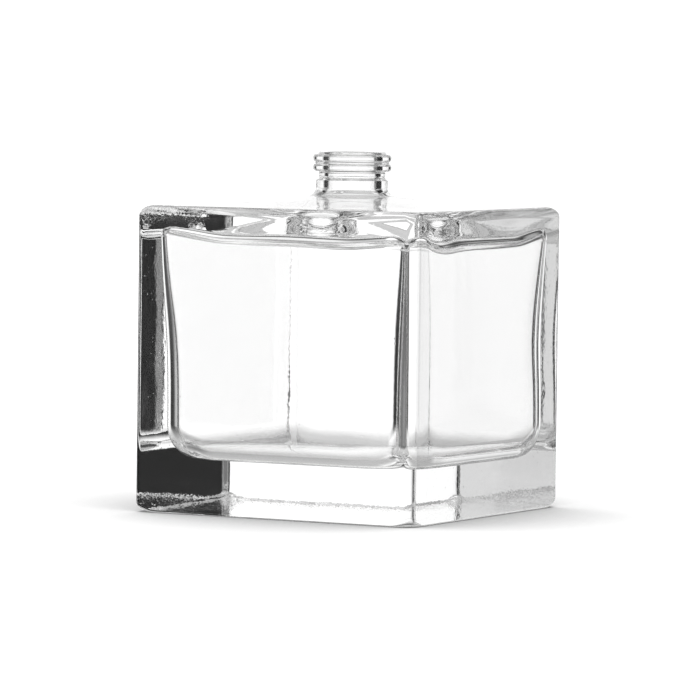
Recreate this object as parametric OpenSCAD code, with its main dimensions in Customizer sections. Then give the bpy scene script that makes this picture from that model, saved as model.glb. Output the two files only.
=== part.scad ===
// Clear cube flacon for aftershave, blown in one piece of thick glass, with a 15 mm crimp neck.
// Z is up, the origin is the centre of the base where it stands, and the faces look along X and Y.

/* [Body] */
// Width of the body along X
body_w = 60; // [50:1:80]
// Depth of the body along Y
body_d = 60; // [50:1:80]
// Height of the body, from the table to the flat rim of its top
body_h = 58; // [50:1:90]
// Radius of the four upright edges
upright_r = 1.8; // [1:0.1:3]
// Radius of the four top edges
top_r = 2; // [1.5:0.1:4]
// Radius of the four heel edges
heel_r = 1; // [0.5:0.1:4]

/* [Base] */
// Glass under the chamber floor
base_t = 10.2; // [6:0.1:14]
// Width of the square sole ring that touches the table
sole_ring = 5; // [3:0.5:8]
// Height of the hollow ground into the underside
push_up = 0.3; // [0.2:0.1:1.5]

/* [Chamber] */
// Thickness of the four walls
wall_t = 3.4; // [2.5:0.1:6]
// Glass over the chamber, measured at the wall
shoulder_t = 4.6; // [3:0.1:7]
// Radius of the chamber's upright corners
chamber_upright_r = 5; // [2:0.5:10]
// Radius between the chamber's walls and its ceiling
chamber_top_r = 3.2; // [2:0.1:5]
// Radius between the chamber's walls and its floor
chamber_floor_r = 4.2; // [3:0.1:8]
// Rise of the ceiling from the wall to the neck
ceiling_rise = 2.4; // [1:0.1:3]

/* [Shoulder] */
// Rise of the shoulder from the rim of the top to the root of the neck
shoulder_rise = 1.9; // [1:0.1:4]

/* [Neck] */
// Outside radius of the crimp bead
bead_r = 7.5; // [7.4:0.05:7.6]
// Outside radius of the neck under the bead
neck_r = 6.4; // [6.2:0.05:6.5]
// Radius of the bore, which the pump goes down through
bore_r = 4.65; // [4.3:0.05:4.9]
// Height of the finished mouth above the table, less the body's own height
neck_h = 10.3; // [9:0.1:14]
// Height of the two rings of the bead together
bead_h = 3.2; // [3:0.1:3.6]
// Height of the sealing lip over the bead
lip_h = 0.5; // [0.3:0.1:0.8]
// Depth of the groove between the rings of the bead
groove_d = 0.4; // [0.2:0.1:0.6]
// Radius on the inner edge of the mouth
mouth_r = 0.5; // [0.3:0.1:0.8]
// Step out at the seam where the neck ring of the mould met the body mould
seam_step = 0.45; // [0.2:0.05:0.6]
// Radius of the hollow where the neck flows into the shoulder
root_r = 1.8; // [1:0.1:2.5]

/* [Hidden] */
$fn = 96;
// How far one solid runs into the next, or a cut runs past what it cuts
overlap = 0.01;
bury = 1;
mouth_z = body_h + neck_h;
bead_top_z = mouth_z - lip_h;
bead_z = bead_top_z - bead_h;
ring_h = bead_h / 2;
ring_round = 0.45;
lip_r = neck_r + 0.15;
lip_round = 0.35;
seam_z = bead_z - 1.8;
root_z = body_h + shoulder_rise;
root_out_r = neck_r + seam_step;
chamber_w = body_w - 2 * wall_t;
chamber_d = body_d - 2 * wall_t;
ceiling_z = body_h - shoulder_t;
throat_z = ceiling_z + ceiling_rise;
throat_round = 1.6;
hollow_half = min(body_w, body_d) / 2 - heel_r - sole_ring;
hollow_r = (hollow_half * hollow_half + push_up * push_up) / (2 * push_up);
hollow_fn = 200;
arc_steps = 10;
glass_clear = [0.93, 0.96, 0.96, 0.35];

// A rectangle from z0 to z1 with its own radius at the bottom and at the top corners.
module upright_outline(width, z0, z1, bottom_r, top_corner_r) {
    half = width / 2;
    translate([-half + bottom_r, z0]) square([width - 2 * bottom_r, bottom_r + overlap]);
    translate([-half, z0 + bottom_r]) square([width, z1 - z0 - bottom_r - top_corner_r]);
    translate([-half + top_corner_r, z1 - top_corner_r - overlap])
        square([width - 2 * top_corner_r, top_corner_r + overlap]);
    for (side = [-1, 1]) {
        translate([side * (half - bottom_r), z0 + bottom_r]) circle(r = bottom_r);
        translate([side * (half - top_corner_r), z1 - top_corner_r]) circle(r = top_corner_r);
    }
}

// The plan of the body or of the chamber: a rectangle with four equal corner radii.
module plan(width, depth, corner_r) {
    square([width - 2 * corner_r, depth], center = true);
    square([width, depth - 2 * corner_r], center = true);
    for (x = [-1, 1], y = [-1, 1])
        translate([x * (width / 2 - corner_r), y * (depth / 2 - corner_r)]) circle(r = corner_r);
}

// A block with rounded uprights, and with one radius round its bottom and another round its top.
module rounded_block(width, depth, z0, z1, corner_r, bottom_r, top_corner_r) {
    intersection() {
        translate([0, 0, z0]) linear_extrude(z1 - z0) plan(width, depth, corner_r);
        rotate([90, 0, 0]) translate([0, 0, -depth / 2])
            linear_extrude(depth) upright_outline(width, z0, z1, bottom_r, top_corner_r);
        rotate([90, 0, 90]) translate([0, 0, -width / 2])
            linear_extrude(width) upright_outline(depth, z0, z1, bottom_r, top_corner_r);
    }
}

// Points of an arc in the half-plane that rotate_extrude turns.
function arc(r, z, radius, from, to) =
    [for (i = [0:arc_steps]) let (a = from + (to - from) * i / arc_steps) [r + radius * cos(a), z + radius * sin(a)]];

// One ring of the bead, as it stands out of the neck.
module bead_ring(z) {
    translate([0, z]) polygon(concat(
        [[neck_r - bury, 0]],
        arc(bead_r - ring_round, ring_round, ring_round, -90, 0),
        arc(bead_r - ring_round, ring_h - ring_round, ring_round, 0, 90),
        [[neck_r - bury, ring_h]]));
}

// Half of the neck's outside, from inside the shoulder up to the sealing lip.
module neck_outline() {
    polygon(concat(
        [[0, root_z - bury], [root_out_r + root_r, root_z - bury]],
        arc(root_out_r + root_r, root_z + root_r, root_r, -90, -180),
        [[root_out_r, seam_z - seam_step], [neck_r, seam_z], [neck_r, mouth_z - 2 * lip_round]],
        arc(lip_r - lip_round, mouth_z - lip_round, lip_round, 0, 90),
        [[0, mouth_z]]));
    bead_ring(bead_z);
    bead_ring(bead_z + ring_h);
    translate([0, bead_z]) square([bead_r - groove_d, bead_h - ring_round]);
}

// The low cone that leads from the rim of the top to the neck.
module shoulder() {
    shoulder_out_r = min(body_w, body_d) / 2 - top_r;
    translate([0, 0, body_h - overlap])
        cylinder(h = shoulder_rise + overlap, r1 = shoulder_out_r, r2 = root_out_r + root_r);
}

// The bore, rounded where it opens into the chamber and at the edge of the mouth.
module throat() {
    translate([0, 0, ceiling_z - bury]) cylinder(h = mouth_z - ceiling_z + 2 * bury, r = bore_r);
    rotate_extrude() polygon(concat(
        [[0, throat_z + throat_round]],
        arc(bore_r + throat_round, throat_z + throat_round, throat_round, 180, 270),
        [[bore_r + throat_round, throat_z - bury], [0, throat_z - bury]]));
    rotate_extrude() polygon(concat(
        [[0, mouth_z - mouth_r]],
        arc(bore_r + mouth_r, mouth_z - mouth_r, mouth_r, 180, 90),
        [[bore_r + mouth_r, mouth_z + bury], [0, mouth_z + bury]]));
}

// The space for the aftershave, with a ceiling that climbs to the throat.
module chamber() {
    ceiling_out_r = min(chamber_w, chamber_d) / 2 - chamber_top_r;
    rounded_block(chamber_w, chamber_d, base_t, ceiling_z, chamber_upright_r, chamber_floor_r, chamber_top_r);
    translate([0, 0, ceiling_z - overlap])
        cylinder(h = ceiling_rise + overlap, r1 = ceiling_out_r, r2 = bore_r + throat_round);
}

// The shallow hollow of the underside, inside the square sole ring.
module underside_hollow() {
    translate([0, 0, push_up - hollow_r]) sphere(r = hollow_r, $fn = hollow_fn);
}

// The whole bottle: one piece of glass.
module glass_bottle() {
    color(glass_clear) difference() {
        union() {
            rounded_block(body_w, body_d, 0, body_h, upright_r, heel_r, top_r);
            shoulder();
            rotate_extrude() neck_outline();
        }
        chamber();
        throat();
        underside_hollow();
    }
}

glass_bottle();
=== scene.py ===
"""Looks of an empty cube flacon: one piece of thick clear glass with a crimp neck, on a white table.

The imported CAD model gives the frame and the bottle's box. The glass is built here again as one closed
skin with the uneven inside that blown glass has, and it stands for the CAD node.
"""

import logging
import math
from dataclasses import dataclass, field
from enum import Enum

import bpy
import numpy as np
from mathutils import Matrix, Vector

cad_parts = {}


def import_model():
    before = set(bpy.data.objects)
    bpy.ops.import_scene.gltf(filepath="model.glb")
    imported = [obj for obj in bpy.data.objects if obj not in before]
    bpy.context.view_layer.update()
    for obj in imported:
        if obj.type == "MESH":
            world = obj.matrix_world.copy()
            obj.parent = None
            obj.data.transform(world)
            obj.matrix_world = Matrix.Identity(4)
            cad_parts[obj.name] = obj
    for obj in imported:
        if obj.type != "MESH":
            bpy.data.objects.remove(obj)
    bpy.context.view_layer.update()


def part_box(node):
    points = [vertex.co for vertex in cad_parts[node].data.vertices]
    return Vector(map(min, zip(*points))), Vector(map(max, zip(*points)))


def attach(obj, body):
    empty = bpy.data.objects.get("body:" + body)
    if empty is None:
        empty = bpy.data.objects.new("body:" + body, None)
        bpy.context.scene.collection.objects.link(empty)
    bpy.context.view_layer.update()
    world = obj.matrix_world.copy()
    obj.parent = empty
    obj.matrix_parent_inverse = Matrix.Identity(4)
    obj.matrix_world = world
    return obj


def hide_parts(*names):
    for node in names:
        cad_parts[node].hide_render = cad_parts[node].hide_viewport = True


MM = 0.001
BOTTLE_NODE = "glass_bottle"

GLASS_BOUNCES = 40
TABLE_BOUNCES = 4
TONE_GAMMA = 0.78

log = logging.getLogger("flacon")


class Upright(Enum):
    """The four upright edges of the body, each by the signs of its X and Y."""

    RIGHT = (1, 1)
    BACK = (-1, 1)
    LEFT = (-1, -1)
    FRONT = (1, -1)


UPRIGHTS = list(Upright)


def arc(radius_at: float, height_at: float, radius: float, start: float, end: float, steps: int) -> list:
    """Points of an arc in the half-plane of a profile.

    Args:
        radius_at: The arc centre's distance from the axis.
        height_at: The arc centre's height.
        radius: The arc's radius.
        start: Its first angle, in degrees.
        end: Its last angle, in degrees.
        steps: How many steps it takes.

    Returns:
        The points, each as (distance from the axis, height).
    """
    turns = np.radians(np.linspace(start, end, steps + 1))
    return [(radius_at + radius * math.cos(t), height_at + radius * math.sin(t)) for t in turns]


def fine_steps(radius_at: float, height_at: float, steps: list) -> list:
    """Points of a profile close to one place on it.

    Args:
        radius_at: That place's distance from the axis.
        height_at: That place's height.
        steps: Each point's steps outward and upward from there, in millimetres.

    Returns:
        The points, each as (distance from the axis, height).
    """
    return [(radius_at + out * MM, height_at + up * MM) for out, up in steps]


def level_ring(plan: np.ndarray, z: float) -> np.ndarray:
    """A ring with all its points at one height."""
    return np.column_stack([plan, np.full(len(plan), z)])


def ease(t: np.ndarray) -> np.ndarray:
    """A smooth step from 0 to 1 while t goes from 0 to 1."""
    t = np.clip(t, 0.0, 1.0)
    return t * t * (3.0 - 2.0 * t)


def bunched(steps: int) -> np.ndarray:
    """Values from -1 to 1, closer together near both ends."""
    return np.sin(np.linspace(-math.pi / 2, math.pi / 2, steps + 1))


@dataclass(frozen=True)
class Girth:
    """How a ring of vertices is spread round the bottle, the same for every ring."""

    flat_steps: int = 40
    corner_steps: int = 14
    guide_corner: float = 0.1
    circle_shares: tuple = (0.3, 0.7)

    @property
    def count(self) -> int:
        """Vertices in one ring."""
        return 4 * (self.flat_steps + self.corner_steps)

    def square(self, half: float, radii: list) -> np.ndarray:
        """A square ring with rounded corners.

        Args:
            half: Half of the square's side.
            radii: The corner radius at each of the four uprights.

        Returns:
            The ring's points in plan, one row each.
        """
        points = []
        for k in range(4):
            turn = k * math.pi / 2
            turned = np.array([[math.cos(turn), math.sin(turn)], [-math.sin(turn), math.cos(turn)]])
            before, after = radii[k - 1], radii[k]
            low, high = before - half, half - after
            along = low + (bunched(self.flat_steps)[:-1] + 1) / 2 * (high - low)
            flat = np.column_stack([np.full_like(along, half), along])
            t = np.linspace(0, math.pi / 2, self.corner_steps + 1)[:-1]
            corner = np.column_stack([high + after * np.cos(t), high + after * np.sin(t)])
            points.append(np.vstack([flat, corner]) @ turned)
        return np.vstack(points)

    def circle(self, radius: float) -> np.ndarray:
        """A round ring whose points stay near those of a square ring.

        Args:
            radius: The ring's radius.

        Returns:
            The ring's points in plan, one row each.
        """
        edge = self.square(1.0, [self.guide_corner] * 4)
        near = np.unwrap(np.arctan2(edge[:, 1], edge[:, 0]))
        even = near[0] + np.arange(self.count) * 2 * math.pi / self.count
        near_share, even_share = self.circle_shares
        t = near_share * near + even_share * even
        return radius * np.column_stack([np.cos(t), np.sin(t)])

    def turned_rings(self, profile: list) -> list:
        """Round level rings, one for each (distance from the axis, height) of a profile."""
        return [level_ring(self.circle(radius), z) for radius, z in profile]


@dataclass
class OuterSkin:
    """The outside of the bottle, from the middle of the underside to the edge of the mouth."""

    half: float
    mouth_z: float
    girth: Girth
    neck_height: float = 10.3 * MM
    upright_radius: float = 1.8 * MM
    top_radius: float = 2.0 * MM
    top_corner_growth: float = 0.15
    heel_radius: float = 0.5 * MM
    heel_corner_radius: float = 1.9 * MM
    heel_corner_reach: float = 4.5 * MM
    heel_corner_growth: float = 0.5
    sole_ring: float = 5.0 * MM
    sole_corner_extra: float = 1.6 * MM
    push_up: float = 0.3 * MM
    hollow_corners: tuple = (0.85, 0.35)
    shoulder_rise: float = 1.9 * MM
    shoulder_softness: float = 0.06
    bead_radius: float = 7.5 * MM
    neck_radius: float = 6.4 * MM
    seam_radius: float = 6.87 * MM
    seam_drop: float = 1.65 * MM
    lip_radius: float = 6.55 * MM
    lip_round: float = 0.22 * MM
    root_radius: float = 1.8 * MM
    lip_height: float = 0.5 * MM
    ring_height: float = 1.43 * MM
    ring_gap: float = 0.34 * MM
    ring_round: float = 0.5 * MM
    groove_radius: float = 7.1 * MM
    underside_steps: int = 14
    heel_steps: int = 14
    wall_steps: int = 30
    top_steps: int = 12
    shoulder_steps: int = 25

    @property
    def body_height(self) -> float:
        """Height of the rim of the top."""
        return self.mouth_z - self.neck_height

    def shoulder_z(self, plan: np.ndarray) -> np.ndarray:
        """The shape of the top: flat in the corners, and a low cone round the neck.

        Args:
            plan: Points in plan, one row each.

        Returns:
            The height at each point.
        """
        outer = self.half - self.top_radius
        inner = self.seam_radius + self.root_radius
        climb = (outer - np.hypot(plan[:, 0], plan[:, 1])) / (outer - inner)
        soft = self.shoulder_softness
        climb = soft * np.log1p(np.exp(np.clip(climb / soft, -30, 30)))
        return self.body_height + self.shoulder_rise * np.clip(climb, 0, 1)

    def rings(self) -> list:
        """All rings of the outside.

        Returns:
            Arrays of points, one array per ring, from the underside to the neck's inner edge.
        """
        return self.underside() + self.body() + self.shoulder() + self.neck()

    def level(self, half: float, z: float, extra: float) -> np.ndarray:
        """A square ring of the body at one height; extra adds to its corner radius."""
        return level_ring(self.girth.square(half, [self.upright_radius + extra] * 4), z)

    def heel_radii(self) -> np.ndarray:
        """How round the heel is: more so under the uprights than along the walls.

        Returns:
            The radius at each point of a ring.
        """
        plan = self.girth.square(self.half, [self.upright_radius] * 4)
        from_corner = self.half - np.minimum(np.abs(plan[:, 0]), np.abs(plan[:, 1]))
        share = 1 - ease(from_corner / self.heel_corner_reach)
        return self.heel_radius + (self.heel_corner_radius - self.heel_radius) * share

    def heel(self) -> list:
        """The rounded edge between the sole and the walls.

        Returns:
            The heel's rings, from the sole up.
        """
        outer = self.girth.square(self.half, [self.upright_radius] * 4)
        deep = self.heel_corner_radius
        corner = self.upright_radius + self.heel_corner_growth * deep
        inner = self.girth.square(self.half - deep, [corner] * 4)
        radii = self.heel_radii()
        made = []
        for turn in np.radians(np.linspace(-90, 0, self.heel_steps + 1)):
            share = (radii * (1 - math.cos(turn)) / deep)[:, None]
            made.append(np.column_stack([outer + (inner - outer) * share, radii * (1 + math.sin(turn))]))
        return made

    def underside(self) -> list:
        """The shallow hollow under the base and the sole that the bottle stands on.

        Returns:
            Their rings, from the middle out.
        """
        sole = self.half - self.heel_corner_radius
        hollow = sole - self.sole_ring
        middle, edge = self.hollow_corners
        made = []
        for s in np.linspace(0, 1, self.underside_steps + 1)[1:]:
            square = self.girth.square(s * hollow, [s * hollow * (middle + (edge - middle) * s)] * 4)
            plan = self.girth.circle(s * hollow) * (1 - s) + square * s
            made.append(level_ring(plan, self.push_up * (1 - s * s) ** 1.5))
        inner_corner = hollow * edge
        outer_corner = self.upright_radius + self.sole_corner_extra
        for share in (0.5, 0.9):
            at = hollow + (sole - hollow) * share
            radius = inner_corner + (outer_corner - inner_corner) * share
            made.append(level_ring(self.girth.square(at, [radius] * 4), 0.0))
        return made

    def body(self) -> list:
        """The heel, the four walls and the rounded top edge.

        Returns:
            Their rings, from the sole up.
        """
        top_z = self.body_height - self.top_radius
        low = self.heel_corner_radius
        shares = (bunched(self.wall_steps)[1:-1] + 1) / 2
        walls = [(self.half, z) for z in low + shares * (top_z - low)]
        top = arc(self.half - self.top_radius, top_z, self.top_radius, 0, 90, self.top_steps)
        grown = self.top_corner_growth
        return self.heel() + [self.level(at, z, grown * (self.half - at)) for at, z in walls + top]

    def shoulder(self) -> list:
        """The low slope from the rim of the top to the root of the neck.

        Returns:
            Its rings, from the rim in.
        """
        outer = self.half - self.top_radius
        inner = self.seam_radius + self.root_radius
        corner = self.upright_radius + self.top_corner_growth * self.top_radius
        made = []
        for s in np.linspace(0, 1, self.shoulder_steps + 1)[1:]:
            at = outer + (inner - outer) * s
            square = self.girth.square(at, [corner + (at - corner) * ease(s)] * 4)
            plan = square * (1 - ease(s)) + self.girth.circle(at) * ease(s)
            made.append(np.column_stack([plan, self.shoulder_z(plan)]))
        return made

    def neck(self) -> list:
        """The root, the seam, the neck, the two rings of the bead, and the lip with its mouth.

        Returns:
            Their rings, from the shoulder up.
        """
        root_z = self.body_height + self.shoulder_rise
        bead_top = self.mouth_z - self.lip_height
        ring, gap, r = self.ring_height, self.ring_gap, self.ring_round
        bead_z = bead_top - 2 * ring - gap
        seam_z = bead_z - self.seam_drop
        out = self.bead_radius - r
        root, lip = self.root_radius, self.lip_round
        profile = arc(self.seam_radius + root, root_z + root, root, -90, -180, 10)[1:]
        profile += fine_steps(self.seam_radius, seam_z, [(0.02, -0.12), (0, 0)])
        profile += fine_steps(self.neck_radius, seam_z, [(0.1, 0.22), (0, 0.5)])
        profile += fine_steps(self.neck_radius, bead_z, [(0, -0.2), (0.05, -0.05), (0.25, 0)])
        for low in (bead_z, bead_z + ring + gap):
            profile += arc(out, low + r, r, -90, 0, 6)
            profile += arc(out, low + ring - r, r, 0, 90, 6)
            if low == bead_z:
                profile += fine_steps(self.groove_radius, low + ring, [(0.06, 0.06)])
                profile += fine_steps(self.groove_radius, low + ring + gap / 2, [(0, 0)])
                profile += fine_steps(self.groove_radius, low + ring + gap, [(0.06, -0.06)])
        profile += fine_steps(self.lip_radius, bead_top, [(0.12, 0), (0, 0.08)])
        profile += arc(self.lip_radius - lip, self.mouth_z - lip, lip, 0, 90, 5)
        return self.girth.turned_rings(profile)


@dataclass
class Chamber:
    """The inside of the bottle, from the edge of the mouth to the middle of the chamber floor.

    Its walls are uneven, as blown glass is: slim brings both Y walls in, drift shifts the whole chamber
    along X and Y, wedge turns the +X wall, taper leans it, and pinch leans the LEFT end of the -X wall.
    """

    half: float
    mouth_z: float
    girth: Girth
    bore_radius: float = 4.65 * MM
    mouth_round: float = 0.5 * MM
    wall: float = 3.4 * MM
    slim: float = 0.65 * MM
    drift: tuple = (0.4 * MM, 0.6 * MM)
    wedge: float = 1.2 * MM
    taper: float = 0.45 * MM
    pinch: float = 0.6 * MM
    lean_low: float = 0.5
    floor_z: float = 10.0 * MM
    ceiling_z: float = 53.6 * MM
    ceiling_rise: float = 3.2 * MM
    ceiling_dip: float = 0.7 * MM
    ceiling_radius: tuple = (1.9 * MM, 2.7 * MM)
    ceiling_bunching: float = 1.6
    corner_lift: float = 1.3 * MM
    corner_lift_span: tuple = (0.45, 0.5)
    least_corner: float = 0.8 * MM
    flare_reach: float = 1.5 * MM
    floor_radius: float = 4.0 * MM
    floor_corner_radius: float = 6.6 * MM
    floor_corner_reach: float = 10.0 * MM
    floor_corner_share: float = 0.25
    floor_corner_narrowing: float = 0.45
    least_floor_corner: float = 2.0 * MM
    throat_z: float = 61.4 * MM
    bore_steps: int = 11
    ceiling_steps: int = 29
    edge_steps: int = 10
    wall_steps: int = 30
    floor_edge_steps: int = 16
    floor_steps: int = 11
    curtain_at: float = -18.0 * MM
    curtain_width: float = 6.5 * MM
    curtain_drop: float = 0.9 * MM
    curtain_span: tuple = (0.5, 0.45)
    settled_at_top: float = 0.05
    settling: float = 1.1
    corner_blend: float = 5.0 * MM
    corner_heights: tuple = (12.0 * MM, 24.0 * MM, 33.0 * MM, 44.0 * MM, 54.0 * MM)
    corner_radii: dict = field(default_factory=lambda: {
        Upright.RIGHT: (6.4 * MM, 6.6 * MM, 8.2 * MM, 6.6 * MM, 3.6 * MM),
        Upright.BACK: (3.4 * MM, 3.0 * MM, 2.5 * MM, 2.3 * MM, 2.3 * MM),
        Upright.LEFT: (6.0 * MM, 5.8 * MM, 5.6 * MM, 3.6 * MM, 2.3 * MM),
        Upright.FRONT: (7.4 * MM, 7.4 * MM, 7.4 * MM, 6.4 * MM, 4.0 * MM),
    })

    def rings(self) -> list:
        """All rings of the inside.

        Returns:
            Arrays of points, one array per ring, from the mouth to the chamber floor.
        """
        return self.bore() + self.ceiling() + self.walls() + self.floor()

    def placed(self, plan: np.ndarray, share: float = 1.0, lean: float = -1.0) -> np.ndarray:
        """Gives a ring the uneven walls of the chamber.

        Args:
            plan: The ring's points in plan.
            share: How much of the unevenness the ring takes, from 0 at the throat to 1 at the walls.
            lean: How far the +X wall and the LEFT upright stand in: -1 at the top, where they stand out.

        Returns:
            The points, off the axis, with each wall a little thicker or thinner along its length.
        """
        reach = self.half - self.wall
        made = plan * [1.0, 1 - share * self.slim / reach] + share * np.array(self.drift)
        across, along = plan[:, 0] / reach, plan[:, 1] / reach
        right, left = np.clip(across, 0, 1), np.clip(-across, 0, 1)
        made[:, 0] += share * right * (self.wedge * along - self.taper * lean)
        made[:, 0] += share * left * self.pinch * lean * np.clip(0.5 - 0.5 * along, 0, 1)
        return made

    def bore(self) -> list:
        """The rounded mouth and the bore, down to where it starts to widen.

        Returns:
            Their rings, from the mouth down.
        """
        r = self.mouth_round
        profile = arc(self.bore_radius + r, self.mouth_z - r, r, 90, 180, 6)
        heights = np.linspace(self.mouth_z - r, self.throat_z, self.bore_steps + 1)[1:]
        profile += [(self.bore_radius, z) for z in heights]
        return self.girth.turned_rings(profile)

    def ceiling_height(self, plan: np.ndarray) -> np.ndarray:
        """The shape of the ceiling: it climbs to the throat, lifts in the corners and sags beside +X.

        Args:
            plan: Points in plan, one row each.

        Returns:
            The height at each point.
        """
        reach = self.half - self.wall
        away = np.hypot(plan[:, 0], plan[:, 1])
        along = np.maximum(np.abs(plan[:, 0]), np.abs(plan[:, 1])) / reach
        across = np.minimum(np.abs(plan[:, 0]), np.abs(plan[:, 1])) / reach
        rise = self.ceiling_rise * (1 - ease((away - self.bore_radius) / (reach - self.bore_radius)))
        start, width = self.corner_lift_span
        corners = self.corner_lift * ease((across - start) / width) * along
        beside = np.exp(-((plan[:, 1] - self.curtain_at) / self.curtain_width) ** 2)
        start, width = self.curtain_span
        curtain = self.curtain_drop * beside * ease((plan[:, 0] / reach - start) / width)
        return self.ceiling_z - self.ceiling_dip + rise + corners - curtain

    def ceiling(self) -> list:
        """The throat and the ceiling, out to the wall.

        Returns:
            Their rings, from the bore out.
        """
        edge = self.upper_edge(90)
        rim = float(np.abs(edge).max())
        made = []
        for s in np.linspace(0, 1, self.ceiling_steps + 1)[1:]:
            at = self.bore_radius + (rim - self.bore_radius) * s ** self.ceiling_bunching
            square = float(ease(s))
            plan = self.placed(edge * (at / rim) * square + self.girth.circle(at) * (1 - square), square)
            away = np.hypot(plan[:, 0], plan[:, 1]) - self.bore_radius
            flare = (self.throat_z - self.ceiling_height(plan)) * np.exp(-away / self.flare_reach)
            made.append(np.column_stack([plan, self.ceiling_height(plan) + flare]))
        return made

    def upper_radii(self) -> list:
        """Corner radii just under the ceiling."""
        return self.radii_at(self.ceiling_z)

    def radii_at(self, z: float) -> list:
        """The corner radii at a height, averaged over a short stretch so that they change smoothly.

        Args:
            z: The height.

        Returns:
            The radius at each of the four uprights.
        """
        near = z + np.linspace(-self.corner_blend, self.corner_blend, 9)
        along = [np.interp(near, self.corner_heights, self.corner_radii[u]) for u in UPRIGHTS]
        return [float(radii.mean()) for radii in along]

    def ceiling_radii(self) -> np.ndarray:
        """How round the ceiling's edge is: more so towards +X.

        Returns:
            The radius at each point of a ring.
        """
        plan = self.girth.square(1.0, [self.girth.guide_corner] * 4)
        low, high = self.ceiling_radius
        return low + (high - low) * ease(0.5 + 0.5 * plan[:, 0])

    def upper_edge(self, turn: float) -> np.ndarray:
        """One ring of the ceiling's rounded edge.

        Args:
            turn: How far round the edge, in degrees: 0 at the walls and 90 at the ceiling.

        Returns:
            The ring's points in plan, one row each.
        """
        reach = self.half - self.wall
        deep = max(self.ceiling_radius)
        outer = self.girth.square(reach, self.upper_radii())
        corners = [max(q - deep, self.least_corner) for q in self.upper_radii()]
        inner = self.girth.square(reach - deep, corners)
        share = self.ceiling_radii() * (1 - math.cos(math.radians(turn))) / deep
        return outer + (inner - outer) * share[:, None]

    def walls(self) -> list:
        """The rounded edge under the ceiling and the four walls.

        Returns:
            Their rings, from the ceiling down.
        """
        made = []
        reach = self.half - self.wall
        radii = self.ceiling_radii()
        for turn in np.linspace(90, 0, self.edge_steps + 1)[1:]:
            plan = self.placed(self.upper_edge(turn))
            z = self.ceiling_height(plan) - radii * (1 - math.sin(math.radians(turn)))
            made.append(np.column_stack([plan, z]))
        top = self.ceiling_z - radii
        low = self.floor_z + self.floor_radii()
        for s in (bunched(self.wall_steps)[1:] + 1) / 2:
            z = top + (low - top) * s
            settled = float(ease(self.settling * s + self.settled_at_top))
            lean = self.lean_low * settled - (1 - settled)
            plan = self.placed(self.girth.square(reach, self.radii_at(float(z.max()))), lean=lean)
            # The ceiling's lifts and sags fade out down the top third of the walls.
            blend = (self.ceiling_height(plan) - self.ceiling_z) * (1 - ease(s * 3))
            made.append(np.column_stack([plan, z + blend]))
        return made

    def floor_radii(self) -> np.ndarray:
        """How round the floor's edge is: more so in the LEFT and RIGHT corners.

        Returns:
            The radius at each point of a ring.
        """
        plan = self.girth.square(self.half, [self.floor_radius] * 4)
        from_corner = self.half - np.minimum(np.abs(plan[:, 0]), np.abs(plan[:, 1]))
        wide = np.where(plan[:, 0] * plan[:, 1] > 0, 1.0, self.floor_corner_share)
        share = wide * (1 - ease(from_corner / self.floor_corner_reach))
        return self.floor_radius + (self.floor_corner_radius - self.floor_radius) * share

    def floor(self) -> list:
        """The rounded edge of the floor, and the floor, in to its middle.

        Returns:
            Their rings, from the walls in.
        """
        made = []
        reach = self.half - self.wall
        deep = self.floor_corner_radius
        corners = self.radii_at(self.floor_z + deep)
        outer = self.girth.square(reach, corners)
        middle_corners = [max(self.floor_corner_narrowing * q, self.least_floor_corner) for q in corners]
        inner = self.girth.square(reach - deep, middle_corners)
        radii = self.floor_radii()
        for turn in np.radians(np.linspace(0, 90, self.floor_edge_steps + 1)[1:]):
            share = (radii * (1 - math.cos(turn)) / deep)[:, None]
            z = self.floor_z + radii * (1 - math.sin(turn))
            plan = self.placed(outer + (inner - outer) * share, lean=self.lean_low)
            made.append(np.column_stack([plan, z]))
        rim = made[-1][:, :2]
        for s in np.linspace(1, 0, self.floor_steps + 1)[1:-1]:
            plan = rim * s * s + self.girth.circle((reach - deep) * s) * (1 - s)
            made.append(level_ring(plan, self.floor_z))
        return made


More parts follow.
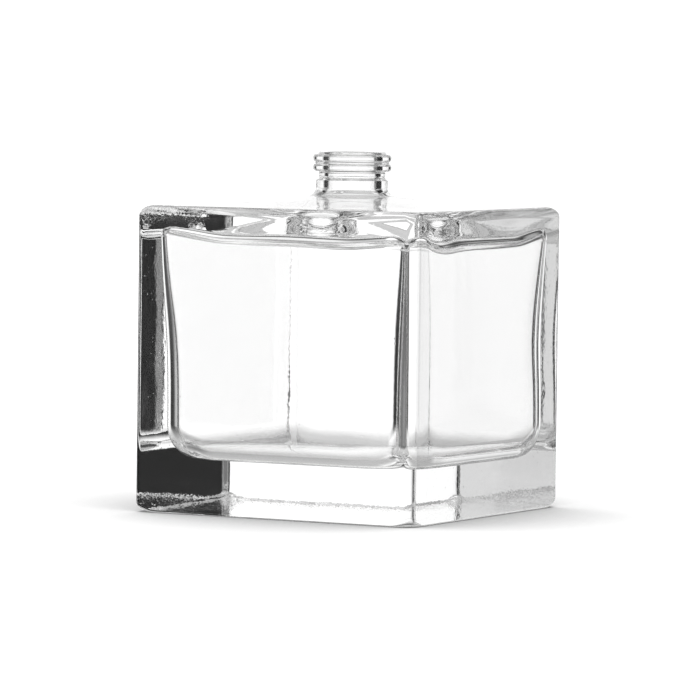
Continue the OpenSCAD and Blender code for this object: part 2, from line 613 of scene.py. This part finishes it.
@dataclass(frozen=True)
class MouldSkin:
    """The faint unevenness of blown glass: slow waves, orange peel, seeds and the marks of a cold mould."""

    name: str = "mould_skin"
    detail: float = 1.5
    faint_tint: float = 0.985
    wave_scale: float = 110.0
    wave_height: float = 0.03 * MM
    peel_scale: float = 1100.0
    peel_height: float = 0.0035 * MM
    seed_scale: float = 420.0
    seed_size: float = 0.07
    seed_height: float = 0.02 * MM
    chill_scale: float = 1500.0
    chill_height: float = 0.022 * MM
    heel_top: float = 3.0 * MM
    heel_fade: float = 1.2 * MM
    rim_low: float = 54.6 * MM
    rim_fade: float = 0.8 * MM
    rim_height: float = 3.4 * MM
    rim_end: float = 0.2 * MM
    rim_side: float = -16.0 * MM
    rim_side_fade: float = 4.0 * MM
    rim_share: float = 4.0

    def noise(self, tree: bpy.types.NodeTree, at: bpy.types.NodeSocket,
              scale: float) -> bpy.types.NodeSocket:
        """Adds smooth noise of one scale.

        Args:
            tree: The group's node tree.
            at: The position on the bottle.
            scale: The noise's scale.

        Returns:
            The socket that carries the noise, from 0 to 1.
        """
        node = tree.nodes.new("ShaderNodeTexNoise")
        node.inputs["Scale"].default_value = scale
        node.inputs["Detail"].default_value = self.detail
        tree.links.new(at, node.inputs["Vector"])
        return node.outputs[0]

    def scaled(self, tree: bpy.types.NodeTree, value: bpy.types.NodeSocket,
               height: float) -> bpy.types.NodeSocket:
        """Turns a value into a height.

        Args:
            tree: The group's node tree.
            value: A socket that carries 0 to 1.
            height: The height that a value of 1 gets.

        Returns:
            The socket that carries the height.
        """
        node = tree.nodes.new("ShaderNodeMath")
        node.operation = "MULTIPLY"
        node.inputs[1].default_value = height
        tree.links.new(value, node.inputs[0])
        return node.outputs[0]

    def chilled(self, tree: bpy.types.NodeTree, at: bpy.types.NodeSocket) -> bpy.types.NodeSocket:
        """Masks the heel, and the rim of the top towards -X, where the mould left fine marks.

        Args:
            tree: The group's node tree.
            at: The position on the bottle.

        Returns:
            The socket that carries the mask: 1 at the heel, more at the rim, and 0 elsewhere.
        """
        parts = tree.nodes.new("ShaderNodeSeparateXYZ")
        tree.links.new(at, parts.inputs[0])
        heel = self.ramp(tree, parts.outputs["Z"], self.heel_top, -self.heel_fade, 1.0)
        rim = self.ramp(tree, parts.outputs["Z"], self.rim_low, self.rim_fade, self.rim_share)
        side = self.ramp(tree, parts.outputs["X"], self.rim_side, -self.rim_side_fade, 1.0)
        body = self.ramp(tree, parts.outputs["Z"], self.rim_low + self.rim_height, -self.rim_end, 1.0)
        for mask in (side, body):
            cut = tree.nodes.new("ShaderNodeMath")
            cut.operation = "MULTIPLY"
            tree.links.new(rim, cut.inputs[0])
            tree.links.new(mask, cut.inputs[1])
            rim = cut.outputs[0]
        both = tree.nodes.new("ShaderNodeMath")
        both.operation = "MAXIMUM"
        tree.links.new(heel, both.inputs[0])
        tree.links.new(rim, both.inputs[1])
        return both.outputs[0]

    def ramp(self, tree: bpy.types.NodeTree, value: bpy.types.NodeSocket, at: float, fade: float,
             top: float) -> bpy.types.NodeSocket:
        """Adds a soft step.

        Args:
            tree: The group's node tree.
            value: The socket to step on.
            at: Where the middle of the step is.
            fade: Half of the step's width; below 0, the step falls.
            top: The step's height.

        Returns:
            The socket that carries the step, from 0 to top.
        """
        node = tree.nodes.new("ShaderNodeMapRange")
        node.inputs["From Min"].default_value = at - fade
        node.inputs["From Max"].default_value = at + fade
        node.inputs["To Max"].default_value = top
        tree.links.new(value, node.inputs["Value"])
        return node.outputs[0]

    def group(self) -> bpy.types.NodeTree:
        """Builds the group, which adds up the heights of the marks and tints the waves faintly.

        Returns:
            The node group, whose outputs are the bent normal and the tint of the glass.
        """
        tree = bpy.data.node_groups.new(self.name, "ShaderNodeTree")
        tree.interface.new_socket("Normal", in_out="OUTPUT", socket_type="NodeSocketVector")
        tree.interface.new_socket("Tint", in_out="OUTPUT", socket_type="NodeSocketColor")
        link = tree.links.new
        at = tree.nodes.new("ShaderNodeTexCoord").outputs["Object"]
        waves = self.noise(tree, at, self.wave_scale)
        cells = tree.nodes.new("ShaderNodeTexVoronoi")
        cells.inputs["Scale"].default_value = self.seed_scale
        link(at, cells.inputs["Vector"])
        seeds = tree.nodes.new("ShaderNodeMapRange")
        seeds.inputs["From Max"].default_value = self.seed_size
        seeds.inputs["To Min"].default_value = 1.0
        seeds.inputs["To Max"].default_value = 0.0
        link(cells.outputs["Distance"], seeds.inputs["Value"])
        height = self.scaled(tree, waves, self.wave_height)
        peel = self.scaled(tree, self.noise(tree, at, self.peel_scale), self.peel_height)
        chill = tree.nodes.new("ShaderNodeMath")
        chill.operation = "MULTIPLY"
        link(self.scaled(tree, self.noise(tree, at, self.chill_scale), self.chill_height), chill.inputs[0])
        link(self.chilled(tree, at), chill.inputs[1])
        for part in (peel, self.scaled(tree, seeds.outputs[0], self.seed_height), chill.outputs[0]):
            total = tree.nodes.new("ShaderNodeMath")
            link(height, total.inputs[0])
            link(part, total.inputs[1])
            height = total.outputs[0]
        bump = tree.nodes.new("ShaderNodeBump")
        bump.inputs["Distance"].default_value = 1.0
        link(height, bump.inputs["Height"])
        tint = tree.nodes.new("ShaderNodeValToRGB")
        tint.color_ramp.elements[0].color = (self.faint_tint,) * 3 + (1,)
        tint.color_ramp.elements[1].color = (1, 1, 1, 1)
        link(waves, tint.inputs["Fac"])
        ends = tree.nodes.new("NodeGroupOutput")
        link(bump.outputs["Normal"], ends.inputs["Normal"])
        link(tint.outputs["Color"], ends.inputs["Tint"])
        return tree


@dataclass(frozen=True)
class ClearGlass:
    """Clear container glass with a fire-polished skin."""

    name: str = "clear_glass"
    ior: float = 1.52
    skin: MouldSkin = MouldSkin()

    def material(self) -> bpy.types.Material:
        """Builds the material.

        Returns:
            The new material.
        """
        made = bpy.data.materials.new(self.name)
        made.use_nodes = True
        tree = made.node_tree
        shader = tree.nodes["Principled BSDF"]
        shader.inputs["Roughness"].default_value = 0.0
        shader.inputs["IOR"].default_value = self.ior
        shader.inputs["Transmission Weight"].default_value = 1.0
        uneven = tree.nodes.new("ShaderNodeGroup")
        uneven.node_tree = self.skin.group()
        tree.links.new(uneven.outputs["Normal"], shader.inputs["Normal"])
        tree.links.new(uneven.outputs["Tint"], shader.inputs["Base Color"])
        return made


@dataclass
class GlassBottle:
    """The whole bottle, as one closed skin of glass."""

    low: Vector
    high: Vector
    girth: Girth = field(default_factory=Girth)

    def build(self) -> bpy.types.Object:
        """Builds the bottle's mesh from the rings of its outside and its inside.

        Returns:
            The new object, in place of the CAD node.
        """
        half = (self.high.x - self.low.x) / 2
        outer = OuterSkin(half=half, mouth_z=self.high.z, girth=self.girth)
        inner = Chamber(half=half, mouth_z=self.high.z, girth=self.girth)
        rings = outer.rings() + inner.rings()
        under = np.array([[0.0, 0.0, outer.push_up]])
        inside = np.array([[0.0, 0.0, inner.floor_z]])
        points = np.vstack([under] + rings + [inside])
        mesh = bpy.data.meshes.new("bottle_glass")
        mesh.from_pydata(points.tolist(), [], self.faces(len(rings)))
        mesh.validate()
        mesh.shade_smooth()
        bottle = bpy.data.objects.new("bottle_glass", mesh)
        bpy.context.scene.collection.objects.link(bottle)
        log.info("bottle: %d vertices in %d rings", len(points), len(rings))
        return bottle

    def faces(self, rings: int) -> list:
        """Joins neighbouring rings, and closes both ends with a fan.

        Args:
            rings: How many rings there are.

        Returns:
            The faces, each as its vertices' numbers.
        """
        n = self.girth.count
        made = []
        for i in range(n):
            j = (i + 1) % n
            made.append((0, 1 + j, 1 + i))
            for k in range(rings - 1):
                a, b = 1 + k * n, 1 + (k + 1) * n
                made.append((a + i, a + j, b + j, b + i))
            last = 1 + (rings - 1) * n
            made.append((last + i, last + j, 1 + rings * n))
        return made


@dataclass(frozen=True)
class Band:
    """A level band of the studio: how bright it is at each bearing round the bottle.

    The elevation is in degrees over the horizon. A bearing is in degrees from straight behind the bottle,
    and it grows to the right. Each stop is a bearing with its brightness.
    """

    elevation: float
    stops: tuple

    def ramp(self, tree: bpy.types.NodeTree, turn: bpy.types.NodeSocket) -> bpy.types.NodeSocket:
        """Builds the band's brightness from the share of a full turn that a direction has made.

        Args:
            tree: The world's node tree.
            turn: 0 to 1 from a bearing of -180 to 180.

        Returns:
            The socket that carries the brightness.
        """
        ramp = tree.nodes.new("ShaderNodeValToRGB")
        elements = ramp.color_ramp.elements
        elements.remove(elements[-1])
        for k, (bearing, value) in enumerate(self.stops):
            at = (bearing + 180) / 360
            element = elements[0] if k == 0 else elements.new(at)
            element.position = at
            element.color = (value, value, value, 1)
        tree.links.new(turn, ramp.inputs["Fac"])
        return ramp.outputs["Color"]


# The light level with the bottle: bright behind it, with a dark flag at each side of the bright part.
EYE_LEVEL = ((-180, 0.5), (-165, 0.7), (-140, 0.82), (-122, 0.88), (-105, 0.78), (-90, 0.55), (-76, 0.1),
             (-46, 0.0), (-38, 0.7), (-30, 1.1), (0, 1.2), (26, 1.15), (34, 0.1), (37, 0.0), (62, 0.0),
             (72, 0.3), (84, 0.35), (98, 0.25), (160, 0.2), (172, 0.4), (180, 0.5))


@dataclass(frozen=True)
class WhiteTable:
    """A matt white table top with a fine grain that glows, with a painted contact shadow: it glows less the
    closer it is to the bottle.
    """

    name: str = "white_table_painted_shadow"
    grain_scale: float = 1600.0
    tones: tuple = (0.31, 0.39)
    roughness: float = 0.9
    # Reach, samples, occlusion range and glow range of the painted contact shadow round the bottle.
    painted_shadow_reach: float = 75 * MM
    painted_shadow_samples: int = 24
    painted_shadow_openness: tuple = (0.3, 0.97)
    painted_shadow_glow: tuple = (0.2, 1.0)

    def material(self) -> bpy.types.Material:
        """Builds the material.

        Returns:
            The new material.
        """
        made = bpy.data.materials.new(self.name)
        made.use_nodes = True
        tree = made.node_tree
        link = tree.links.new
        shader = tree.nodes["Principled BSDF"]
        shader.inputs["Roughness"].default_value = self.roughness
        shader.inputs["Specular IOR Level"].default_value = 0.0
        shader.inputs["Emission Color"].default_value = (1, 1, 1, 1)
        place = tree.nodes.new("ShaderNodeTexCoord")
        grain = tree.nodes.new("ShaderNodeTexNoise")
        grain.inputs["Scale"].default_value = self.grain_scale
        link(place.outputs["Object"], grain.inputs["Vector"])
        tone = tree.nodes.new("ShaderNodeValToRGB")
        for element, value in zip(tone.color_ramp.elements, self.tones):
            element.color = (value, value, value, 1)
        link(grain.outputs[0], tone.inputs["Fac"])
        link(tone.outputs["Color"], shader.inputs["Base Color"])
        # Painted contact shadow: ambient occlusion from the bottle turns the table's glow down near it.
        near = tree.nodes.new("ShaderNodeAmbientOcclusion")
        near.samples = self.painted_shadow_samples
        near.inputs["Distance"].default_value = self.painted_shadow_reach
        painted_shadow = tree.nodes.new("ShaderNodeMapRange")
        painted_shadow.inputs["From Min"].default_value, painted_shadow.inputs["From Max"].default_value = self.painted_shadow_openness
        painted_shadow.inputs["To Min"].default_value, painted_shadow.inputs["To Max"].default_value = self.painted_shadow_glow
        link(near.outputs["AO"], painted_shadow.inputs["Value"])
        link(painted_shadow.outputs[0], shader.inputs["Emission Strength"])
        return made


@dataclass
class Studio:
    """The white table and the soft light round the bottle.

    Rays that have met the glass don't see the table, so the bands below the horizon stand for it there.
    """

    view_azimuth: float
    table_half: float = 3.0
    table_gap: float = 0.1 * MM
    backdrop: float = 1.2
    bands: tuple = (
        Band(-65, ((-180, 0.58), (180, 0.58))),
        Band(-25, ((-180, 0.72), (-122, 0.65), (-96, 0.3), (-60, 0.3), (-30, 0.72), (20, 0.72), (30, 1.15),
                   (60, 1.15), (75, 0.72), (180, 0.72))),
        Band(-11, ((-180, 0.6), (-122, 0.85), (-104, 0.45), (-90, 0.25), (-76, 0.1), (-46, 0.1),
                   (-32, 1.0), (0, 1.1), (26, 1.0), (35, 0.05), (64, 0.05), (76, 0.15), (98, 0.2),
                   (160, 0.3), (180, 0.6))),
        Band(-5, EYE_LEVEL),
        Band(8, EYE_LEVEL),
        Band(20, ((-180, 0.7), (-120, 0.7), (-60, 0.4), (-22, 0.95), (-7, 1.05), (8, 1.0), (22, 0.8),
                  (36, 0.1), (75, 0.0), (90, 0.2), (120, 0.5), (150, 0.6), (180, 0.7))),
        Band(30, ((-180, 0.7), (-90, 0.5), (-45, 0.1), (0, 0.2), (8, 0.6), (18, 0.6), (23, 0.05),
                  (31, 0.05), (38, 0.6), (56, 0.6), (65, 0.1), (90, 0.1), (150, 0.6), (180, 0.7))),
        Band(46, ((-180, 0.76), (-90, 0.7), (-45, 0.1), (0, 0.1), (30, 0.1), (70, 0.1), (105, 0.5),
                  (150, 0.76), (180, 0.76))),
        Band(56, ((-180, 0.8), (180, 0.8))),
        Band(70, ((-180, 1.2), (180, 1.2))),
    )

    def table(self) -> bpy.types.Object:
        """Builds the table top, just under the bottle.

        Returns:
            The new object.
        """
        h, z = self.table_half, -self.table_gap
        mesh = bpy.data.meshes.new("table")
        mesh.from_pydata([(-h, -h, z), (h, -h, z), (h, h, z), (-h, h, z)], [], [(0, 1, 2, 3)])
        mesh.materials.append(WhiteTable().material())
        table = bpy.data.objects.new("table", mesh)
        bpy.context.scene.collection.objects.link(table)
        table.visible_glossy = False
        table.visible_transmission = False
        return table

    def light(self) -> None:
        """Builds the light round the bottle from the bands, and the plain white behind it."""
        world = bpy.data.worlds.new("studio")
        bpy.context.scene.world = world
        world.use_nodes = True
        tree = world.node_tree
        tree.nodes.clear()
        link = tree.links.new
        coords = tree.nodes.new("ShaderNodeTexCoord")
        turned = tree.nodes.new("ShaderNodeVectorRotate")
        turned.rotation_type = "Z_AXIS"
        turned.inputs["Angle"].default_value = -math.radians(self.view_azimuth)
        link(coords.outputs["Generated"], turned.inputs["Vector"])
        parts = tree.nodes.new("ShaderNodeSeparateXYZ")
        link(turned.outputs["Vector"], parts.inputs[0])
        bearing = tree.nodes.new("ShaderNodeMath")
        bearing.operation = "ARCTAN2"
        link(parts.outputs["X"], bearing.inputs[0])
        link(parts.outputs["Y"], bearing.inputs[1])
        turn = tree.nodes.new("ShaderNodeMapRange")
        turn.inputs["From Min"].default_value = -math.pi
        turn.inputs["From Max"].default_value = math.pi
        link(bearing.outputs[0], turn.inputs["Value"])
        bright = self.bands[0].ramp(tree, turn.outputs[0])
        for below, band in zip(self.bands, self.bands[1:]):
            rise = tree.nodes.new("ShaderNodeMapRange")
            rise.inputs["From Min"].default_value = math.sin(math.radians(below.elevation))
            rise.inputs["From Max"].default_value = math.sin(math.radians(band.elevation))
            link(parts.outputs["Z"], rise.inputs["Value"])
            mix = tree.nodes.new("ShaderNodeMix")
            mix.data_type = "RGBA"
            link(rise.outputs[0], mix.inputs["Factor"])
            link(bright, mix.inputs["A"])
            link(band.ramp(tree, turn.outputs[0]), mix.inputs["B"])
            bright = mix.outputs["Result"]
        around = tree.nodes.new("ShaderNodeBackground")
        link(bright, around.inputs["Color"])
        plain = tree.nodes.new("ShaderNodeBackground")
        plain.inputs["Color"].default_value = (self.backdrop,) * 3 + (1,)
        path = tree.nodes.new("ShaderNodeLightPath")
        pick = tree.nodes.new("ShaderNodeMixShader")
        link(path.outputs["Is Camera Ray"], pick.inputs[0])
        link(around.outputs[0], pick.inputs[1])
        link(plain.outputs[0], pick.inputs[2])
        output = tree.nodes.new("ShaderNodeOutputWorld")
        link(pick.outputs[0], output.inputs["Surface"])


@dataclass(frozen=True)
class ProductCamera:
    """The camera: a long lens, a little above the table, turned off the bottle's front."""

    azimuth: float = 28.963
    elevation: float = 3.102
    roll: float = 0.713
    distance: float = 0.999565
    aim_height: float = 0.030427
    lens: float = 268.9

    def build(self) -> bpy.types.Object:
        """Places the camera and makes it the scene's own.

        Returns:
            The new camera.
        """
        a, e, r = (math.radians(v) for v in (self.azimuth, self.elevation, self.roll))
        back = Vector((math.sin(a) * math.cos(e), -math.cos(a) * math.cos(e), math.sin(e)))
        level = Vector((math.cos(a), math.sin(a), 0.0))
        rise = back.cross(level)
        right = level * math.cos(r) + rise * math.sin(r)
        up = rise * math.cos(r) - level * math.sin(r)
        data = bpy.data.cameras.new("product_camera")
        data.lens = self.lens
        data.sensor_width = 36.0
        data.clip_start = 0.01
        data.clip_end = 50.0
        camera = bpy.data.objects.new("product_camera", data)
        turned = Matrix((right, up, back)).transposed().to_4x4()
        place = Vector((0, 0, self.aim_height)) + back * self.distance
        camera.matrix_world = Matrix.Translation(place) @ turned
        bpy.context.scene.collection.objects.link(camera)
        bpy.context.scene.camera = camera
        return camera


def settle_light_paths() -> None:
    """Lets light bounce often enough inside thick glass, and shows white as white."""
    scene = bpy.context.scene
    scene.cycles.max_bounces = GLASS_BOUNCES
    scene.cycles.glossy_bounces = GLASS_BOUNCES
    scene.cycles.transmission_bounces = GLASS_BOUNCES
    scene.cycles.diffuse_bounces = TABLE_BOUNCES
    scene.view_settings.view_transform = "Standard"
    scene.view_settings.gamma = TONE_GAMMA


def main() -> None:
    """Builds the bottle, the table, the light and the camera."""
    logging.basicConfig(level=logging.INFO)
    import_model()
    low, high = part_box(BOTTLE_NODE)
    bottle = GlassBottle(low, high).build()
    bottle.data.materials.append(ClearGlass().material())
    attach(bottle, "root")
    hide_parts(BOTTLE_NODE)
    camera = ProductCamera()
    camera.build()
    studio = Studio(view_azimuth=camera.azimuth)
    studio.table()
    studio.light()
    log.info("studio: white table, %d bands of light, camera", len(studio.bands))
    settle_light_paths()


if __name__ == "__main__":
    main()
